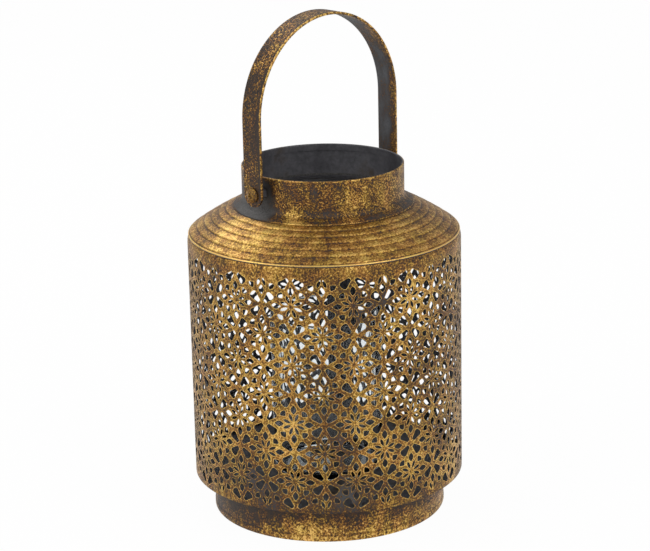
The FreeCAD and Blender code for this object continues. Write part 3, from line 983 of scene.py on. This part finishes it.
@dataclass
class FootRing(Dressed):
    """Rolled foot ring with a hem to stand on and a flange under the floor."""

    radius: float = 86.2 * MM
    top: float = 28.3 * MM
    sheet: float = 0.8 * MM
    hem_height: float = 4.5 * MM
    hem: float = 1.7 * MM
    hem_rounding: float = 0.45 * MM
    body_inset: float = 0.3 * MM
    flange: float = 7.0 * MM
    segments: int = 224
    # Up the outside: how far in from the radius, how high, and the wear. The hem ends in a shallow step.
    side_mm: tuple[Row, ...] = (
        (0.6, 0.0, 0.6), (0.15, 0.2, 0.5), (0.0, 0.7, 0.4), (0.0, 3.7, 0.4), (0.08, 4.3, 0.25),
        (0.22, 4.7, -0.05), (0.22, 5.7, 0.25), (0.2, 9.0, 0.2), (0.2, 17.3, -0.15), (0.2, 23.3, -0.5),
        (0.5, 28.3, -1.0))

    def build(self) -> Piece:
        """Turn the foot ring.

        Returns:
            The foot ring.
        """
        bore, hem_bore = self.radius - self.sheet, self.radius - self.hem
        flange_bore, inside = self.radius - self.flange, bore - self.body_inset
        rows: list[Row] = [(hem_bore, self.hem_rounding, -1.0), (hem_bore + self.hem_rounding, 0.0, -0.5)]
        rows += [(self.radius - inset * MM, height * MM, wear_and_highlight) for inset, height, wear_and_highlight in self.side_mm]
        rows += [(flange_bore, self.top, -1.0), (flange_bore, self.top - self.sheet, -1.0),
                 (inside, self.top - self.sheet, -1.0), (inside, self.hem_height, -1.0),
                 (hem_bore, self.hem_height, -1.0)]
        ring = turned("foot_ring", rows, self.segments, self.finishes.foot, self.finishes.slate)
        give_second_finish(ring, lambda centre, normal: math.hypot(centre.x, centre.y) < bore)
        return ring


@dataclass
class StrapHandle(Dressed):
    """Bent strap handle with rounded ends."""

    half_span: float = 68.0 * MM
    width: float = 17.6 * MM
    thickness: float = 1.8 * MM
    pivot: float = 249.0 * MM
    spring: float = 301.48 * MM
    hole: float = 2.68 * MM
    edge_rounding: float = 0.6 * MM
    edge_segments: int = 3
    round_points: int = 24
    slice_length: float = 3.0 * MM
    crisp_degrees: float = 50.0
    line_shares: tuple[float, ...] = (-0.88, -0.6, 0.0, 0.6, 0.88)
    # From the front edge at -1 to the back edge at 1: the share across that each wear reaches to.
    # The bright line along the front edge is a painted highlight, with a dark band just inside it.
    outer_wear_and_highlight_shares: tuple[Point, ...] = ((-0.93, 1.0), (-0.8, -0.5), (2.0, 0.0))
    inner_wear_and_highlight_shares: tuple[Point, ...] = ((-0.93, 0.3), (-0.5, 0.05), (2.0, -0.5))
    hole_wear: float = -0.8
    hole_margin: float = 1.01
    inner_normal: float = -0.5

    def placed(self, flat: Vector) -> Vector:
        """Point of the bent strap.

        Args:
            flat: Distance along the strap from the top of the arch, distance across it from its middle
                line, and distance outward from its back face.

        Returns:
            The point in the lantern's frame.
        """
        quarter = self.half_span * math.pi / 2
        reach = self.half_span + flat.z - self.thickness / 2
        if abs(flat.x) <= quarter:
            turn = flat.x / self.half_span
            return Vector((reach * math.sin(turn), flat.y, self.spring + reach * math.cos(turn)))
        return Vector((math.copysign(reach, flat.x), flat.y, self.spring - abs(flat.x) + quarter))

    def flat_outlines(self, pivot_at: float) -> list[Outline]:
        """Outline of the flat strap and its two holes.

        Args:
            pivot_at: Distance of the holes from the top of the arch.

        Returns:
            The closed outlines, the strap's own first.
        """
        half, points = self.width / 2, self.round_points
        loops: list[Outline] = [[]]
        for side in Side:
            for number in range(points + 1):
                turn = math.pi * number / points
                across = side.value * half * math.cos(turn)
                loops[0].append((side.value * (pivot_at + half * math.sin(turn)), across))
            turns = [2 * math.pi * i / points for i in range(points)]
            middle = side.value * pivot_at
            loops.append([(middle + self.hole * math.cos(t), self.hole * math.sin(t)) for t in turns])
        return loops

    def build(self) -> Piece:
        """Cut the strap flat, bend it and round its edges.

        Returns:
            The strap.
        """
        half = self.width / 2
        pivot_at = self.half_span * math.pi / 2 + self.spring - self.pivot
        bm = flat_sheet(self.flat_outlines(pivot_at), Vector((0, 1, 0)))
        layer = bm.verts.layers.float.new("wear_and_highlight")
        count = int(pivot_at * 2 / self.slice_length)
        slice_mesh(bm, Vector((1, 0, 0)), [pivot_at * (2 * n / count - 1) for n in range(1, count)])
        slice_mesh(bm, Vector((0, 1, 0)), [share * half for share in self.line_shares])
        thicken(bm, Vector((0, 0, self.thickness)), [edge for edge in bm.edges if edge.is_boundary])
        for vertex in bm.verts:
            in_hole = math.hypot(abs(vertex.co.x) - pivot_at, vertex.co.y) < self.hole * self.hole_margin
            outside = vertex.co.z > self.thickness / 2
            vertex[layer] = self.hole_wear if in_hole else self.wear_and_highlight(vertex.co.y / half, outside)
        for vertex in bm.verts:
            vertex.co = self.placed(vertex.co)
        bmesh.ops.recalc_face_normals(bm, faces=bm.faces)
        strap = piece_of(bm, "bent_strap")
        bevel = strap.modifiers.new("edge", "BEVEL")
        bevel.width = self.edge_rounding
        bevel.segments = self.edge_segments
        bevel.limit_method = "ANGLE"
        bevel.angle_limit = math.radians(self.crisp_degrees)
        finish_modifiers(strap)
        smooth(strap, self.crisp_degrees)
        for material in (self.finishes.strap, self.finishes.strap_inside):
            strap.data.materials.append(material)
        give_second_finish(strap, lambda centre, normal: normal.dot(
            Vector((centre.x, 0.0, max(0.0, centre.z - self.spring))).normalized()) < self.inner_normal)
        return strap

    def wear_and_highlight(self, share: float, outside: bool) -> float:
        """How much gold the strap shows: most along its front edge, as a painted highlight, and hardly any
        inside.

        Args:
            share: Place across the strap, from -1 at its front edge to 1 at its back.
            outside: Whether the point lies on the strap's outer face.

        Returns:
            The wear there.
        """
        table = self.outer_wear_and_highlight_shares if outside else self.inner_wear_and_highlight_shares
        return next(wear_and_highlight for limit, wear_and_highlight in table if share < limit)


@dataclass
class PivotScrew(Dressed):
    """Domed cross-recess screw, with its plain journal and thread, and the nut that it turns in."""

    side: Side
    pivot: float = 249.0 * MM
    seat: float = 69.2 * MM
    head_radius: float = 5.3 * MM
    head_height: float = 2.8 * MM
    head_rim: float = 0.9 * MM
    head_ease: float = 0.15 * MM
    head_segments: int = 64
    head_crisp_degrees: float = 30.0
    journal: float = 2.6 * MM
    thread: float = 2.0 * MM
    thread_play: float = 0.03 * MM
    nut_face: float = 66.8 * MM
    engagement: float = 5.5 * MM
    nut_corner: float = 4.3 * MM
    nut_chamfer: float = 0.5 * MM
    nut_foot: float = 59.15 * MM
    nut_foot_rounding: float = 0.01 * MM
    nut_foot_share: float = 0.97
    nut_points: int = 24
    nut_crisp_degrees: float = 25.0
    recess_length: float = 4.2 * MM
    recess_width: float = 0.9 * MM
    recess_depth: float = 0.9 * MM
    recess_turn: float = 22.0

    def stand(self, piece: Piece) -> Piece:
        """Lay a piece that was turned about Z along the pivot line, its top outward.

        Args:
            piece: The piece.

        Returns:
            The same piece.
        """
        turn = Matrix.Rotation(math.radians(90) * self.side.value, 4, "Y")
        piece.data.transform(Matrix.Translation((0, 0, self.pivot)) @ turn)
        return piece

    def screw(self) -> Piece:
        """Turn the screw and press its cross recess.

        Returns:
            The screw.
        """
        rim_top = self.seat + self.head_rim
        dome = self.head_height - self.head_rim
        top = rim_top + dome
        ball = (self.head_radius ** 2 + dome ** 2) / (2 * dome)
        spread = math.degrees(math.asin(self.head_radius / ball))
        tip = self.nut_face - self.engagement
        rows = [(0.0, tip, 0.0), (self.thread, tip, 0.0), (self.thread, self.nut_face, 0.0),
                (self.journal, self.nut_face, 0.0), (self.journal, self.seat, 0.0),
                (self.head_radius - self.head_ease, self.seat, 0.0),
                (self.head_radius, self.seat + self.head_ease, 0.0)]
        rows += arc((0.0, top - ball), ball, 90 - spread, 90, 7)[:-1] + [(0.0, top, 0.0)]
        body = turned("screw_" + self.side.name.lower(), rows, self.head_segments)
        bm = bmesh.new()
        middle = Matrix.Translation((0, 0, top)) @ Matrix.Rotation(math.radians(self.recess_turn), 4, "Z")
        for long, wide in ((self.recess_length, self.recess_width), (self.recess_width, self.recess_length)):
            arm = Matrix.Diagonal((long, wide, self.recess_depth * 2, 1))
            bmesh.ops.create_cube(bm, size=1.0, matrix=middle @ arm)
        recess = piece_of(bm, "recess")
        press = body.modifiers.new("recess", "BOOLEAN")
        press.operation = "DIFFERENCE"
        press.solver = "EXACT"
        press.use_self = True
        press.object = recess
        finish_modifiers(body)
        bpy.data.objects.remove(recess)
        smooth(body, self.head_crisp_degrees)
        body.data.materials.clear()
        body.data.materials.append(self.finishes.screw)
        return self.stand(body)

    def nut(self) -> Piece:
        """Hexagon nut with chamfered corners, its foot against the neck.

        Returns:
            The nut.
        """
        bore = self.thread + self.thread_play
        sector = math.radians(60)
        flat = self.nut_corner * math.cos(sector / 2)
        bm = bmesh.new()
        rings = []
        for reach, height in (
                (flat * self.nut_foot_share, self.nut_foot),
                (self.nut_corner, self.nut_foot + self.nut_foot_rounding),
                (self.nut_corner, self.nut_face - self.nut_chamfer),
                (flat, self.nut_face), (bore, self.nut_face), (bore, self.nut_foot)):
            ring = []
            for i in range(self.nut_points):
                turn = 2 * math.pi * i / self.nut_points
                hexagon = flat / math.cos((turn % sector) - sector / 2)
                ring.append(bm.verts.new(round_axis(min(reach, hexagon), turn, height)))
            rings.append(ring)
        bridge(bm, rings)
        bmesh.ops.recalc_face_normals(bm, faces=bm.faces)
        nut = piece_of(bm, "nut_" + self.side.name.lower(), self.finishes.slate)
        smooth(nut, self.nut_crisp_degrees)
        return self.stand(nut)


@dataclass
class CandleGlass(Dressed):
    """Straight glass with a thick base and a fire-polished rim."""

    radius: float = 41.0 * MM
    wall: float = 2.4 * MM
    base: float = 4.0 * MM
    base_rounding: float = 2.5 * MM
    foot: float = 29.1 * MM
    height: float = 119.0 * MM
    heel: float = 2.0 * MM
    stand_width: float = 3.0 * MM
    stand_slope: float = 3.0 * MM
    hollow: float = 0.5 * MM
    hollow_middle: float = 0.6 * MM
    segments: int = 128

    def build(self) -> Piece:
        """Turn the glass.

        Returns:
            The glass.
        """
        half = self.wall / 2
        bore, top, floor = self.radius - self.wall, self.foot + self.height, self.foot + self.base
        stand = self.radius - self.heel - self.stand_width
        rows = [(0.0, self.foot + self.hollow_middle, 0.0),
                (stand - self.stand_slope, self.foot + self.hollow, 0.0), (stand, self.foot, 0.0)]
        rows += arc((self.radius - self.heel, self.foot + self.heel), self.heel, -90, 0, 6)
        rows += arc((self.radius - half, top - half), half, 0, 180, 9)
        rows += arc((bore - self.base_rounding, floor + self.base_rounding), self.base_rounding, 0, -90, 6)
        rows.append((0.0, floor, 0.0))
        return turned("candle_glass", rows, self.segments, self.finishes.glass)


# Stage


@dataclass(frozen=True)
class SoftLamp:
    """Square soft lamp aimed at the lantern, its bearing counted from the camera's side to the right."""

    name: str
    watts: float
    bearing: float
    elevation: float
    distance: float
    side: float
    aim_height: float = 0.16

    def hang(self) -> None:
        """Hang the lamp."""
        turn, rise = math.radians(CAMERA_DIRECTION + self.bearing), math.radians(self.elevation)
        away = round_axis(math.cos(rise), turn, math.sin(rise))
        data = bpy.data.lights.new(self.name, "AREA")
        data.energy = self.watts
        data.size = self.side
        lamp = bpy.data.objects.new(self.name, data)
        lamp.location = Vector((0, 0, self.aim_height)) + away * self.distance
        lamp.rotation_euler = (-away).to_track_quat("-Z", "Y").to_euler()
        bpy.context.scene.collection.objects.link(lamp)


@dataclass
class Studio:
    """White floor, white surround and soft lamps."""

    floor_half: float = 6.0
    world_strength: float = 0.55
    paper: str = "#F2F2F2"
    white: str = "#FFFFFF"
    glow_share: float = 0.97
    lamps: tuple[SoftLamp, ...] = (
        SoftLamp("key_back_left", 13.0, -150.0, 46.0, 2.4, 1.5),
        SoftLamp("soft_left", 16.0, -62.0, 30.0, 2.4, 1.2),
        SoftLamp("soft_right", 17.0, 48.0, 34.0, 2.6, 1.6))

    def white_paper(self) -> Material:
        """Matt white paper that reads as white to the eye and still takes a faint shadow.

        Returns:
            The new material.
        """
        material = new_material("white_paper")
        tree = material.node_tree
        path = add(tree, "ShaderNodeLightPath").outputs
        seen = path["Is Camera Ray"]
        for ray in ("Is Glossy Ray", "Is Transmission Ray"):
            seen = add(tree, "ShaderNodeMath", (seen, path[ray]), operation="MAXIMUM")
        share = add(tree, "ShaderNodeMath", (seen, self.glow_share), operation="MULTIPLY")
        paper = add(tree, "ShaderNodeBsdfDiffuse", {"Color": linear(self.paper)})
        glow = add(tree, "ShaderNodeEmission", {"Color": linear(self.white), "Strength": 1.0})
        mixed = add(tree, "ShaderNodeMixShader", (share, paper, glow))
        add(tree, "ShaderNodeOutputMaterial", (mixed,))
        return material

    def build(self) -> None:
        """Lay the floor, light the world and hang the lamps."""
        bm = bmesh.new()
        bmesh.ops.create_grid(bm, x_segments=1, y_segments=1, size=self.floor_half)
        piece_of(bm, "studio_floor", self.white_paper())
        world = bpy.data.worlds.new("studio_white")
        bpy.context.scene.world = world
        world.use_nodes = True
        tree = world.node_tree
        tree.nodes.clear()
        path = add(tree, "ShaderNodeLightPath").outputs
        seen = add(tree, "ShaderNodeMath", (
            path["Is Camera Ray"], path["Is Transmission Ray"]), operation="MAXIMUM")
        dim, full = (
            add(tree, "ShaderNodeBackground", {"Color": linear(self.white), "Strength": strength})
            for strength in (self.world_strength, 1.0))
        add(tree, "ShaderNodeOutputWorld", (add(tree, "ShaderNodeMixShader", (seen, dim, full)),))
        for lamp in self.lamps:
            lamp.hang()


@dataclass
class PhotoCamera:
    """Camera where the photograph was taken from."""

    distance: float = 1567.03 * MM
    height: float = 642.84 * MM
    focal_px: float = 2226.04
    pitch_down: float = 16.637
    roll: float = -1.228
    sensor_mm: float = 36.0

    def build(self) -> None:
        """Place the camera and make it the scene's."""
        stand = math.radians(CAMERA_DIRECTION)
        pitch, roll = math.radians(self.pitch_down), math.radians(self.roll)
        ahead = -round_axis(math.cos(pitch), stand, math.sin(pitch))
        right = Vector((-math.sin(stand), math.cos(stand), 0))
        up = right.cross(ahead)
        rolled_right = right * math.cos(roll) + up * math.sin(roll)
        rolled_up = up * math.cos(roll) - right * math.sin(roll)
        data = bpy.data.cameras.new("photo_camera")
        data.sensor_fit = "HORIZONTAL"
        data.sensor_width = self.sensor_mm
        data.lens = self.focal_px / IMAGE_WIDTH_PX * self.sensor_mm
        camera = bpy.data.objects.new("photo_camera", data)
        axes = Matrix((rolled_right, rolled_up, -ahead)).transposed().to_4x4()
        camera.matrix_world = Matrix.Translation(round_axis(self.distance, stand, self.height)) @ axes
        bpy.context.scene.collection.objects.link(camera)
        bpy.context.scene.camera = camera


def declare(piece: Piece, body: str, slot: str, *nodes: str) -> None:
    """Make a piece ride on a body and stand for CAD nodes.

    Args:
        piece: The finished piece.
        body: Body that carries it.
        slot: Not used.
        *nodes: CAD nodes that it stands for.
    """
    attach(piece, body)
    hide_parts(*nodes)
    LOG.info("%s rides on %s, %d faces", piece.name, body, len(piece.data.polygons))


def main() -> None:
    """Build the lantern, its studio and its camera."""
    logging.basicConfig(level=logging.INFO, format="%(name)s: %(message)s")
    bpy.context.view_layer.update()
    bpy.context.scene.view_settings.view_transform = "Standard"
    PhotoCamera().build()
    Studio().build()
    finishes = Finishes.build()
    for piece in PiercedWall(finishes).build():
        declare(piece, "lantern", "antique_gold", "pierced_body")
    declare(SteppedShoulder(finishes).build(), "lantern", "antique_gold", "shoulder")
    declare(NeckCollar(finishes).build(), "lantern", "antique_gold", "neck_collar")
    declare(FootRing(finishes).build(), "lantern", "antique_gold", "base_ring")
    declare(StrapHandle(finishes).build(), "handle", "antique_gold", "handle_strap")
    declare(CandleGlass(finishes).build(), "glass", "clear_glass", "glass_cylinder")
    for side in Side:
        hardware = PivotScrew(finishes, side)
        declare(hardware.screw(), "lantern", "screw", "pivot_screw_" + side.name.lower())
        declare(hardware.nut(), "lantern", "screw", "pivot_nut_" + side.name.lower())
    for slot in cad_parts["floor_plate"].material_slots:
        slot.material = finishes.slate


if __name__ == "__main__":
    main()
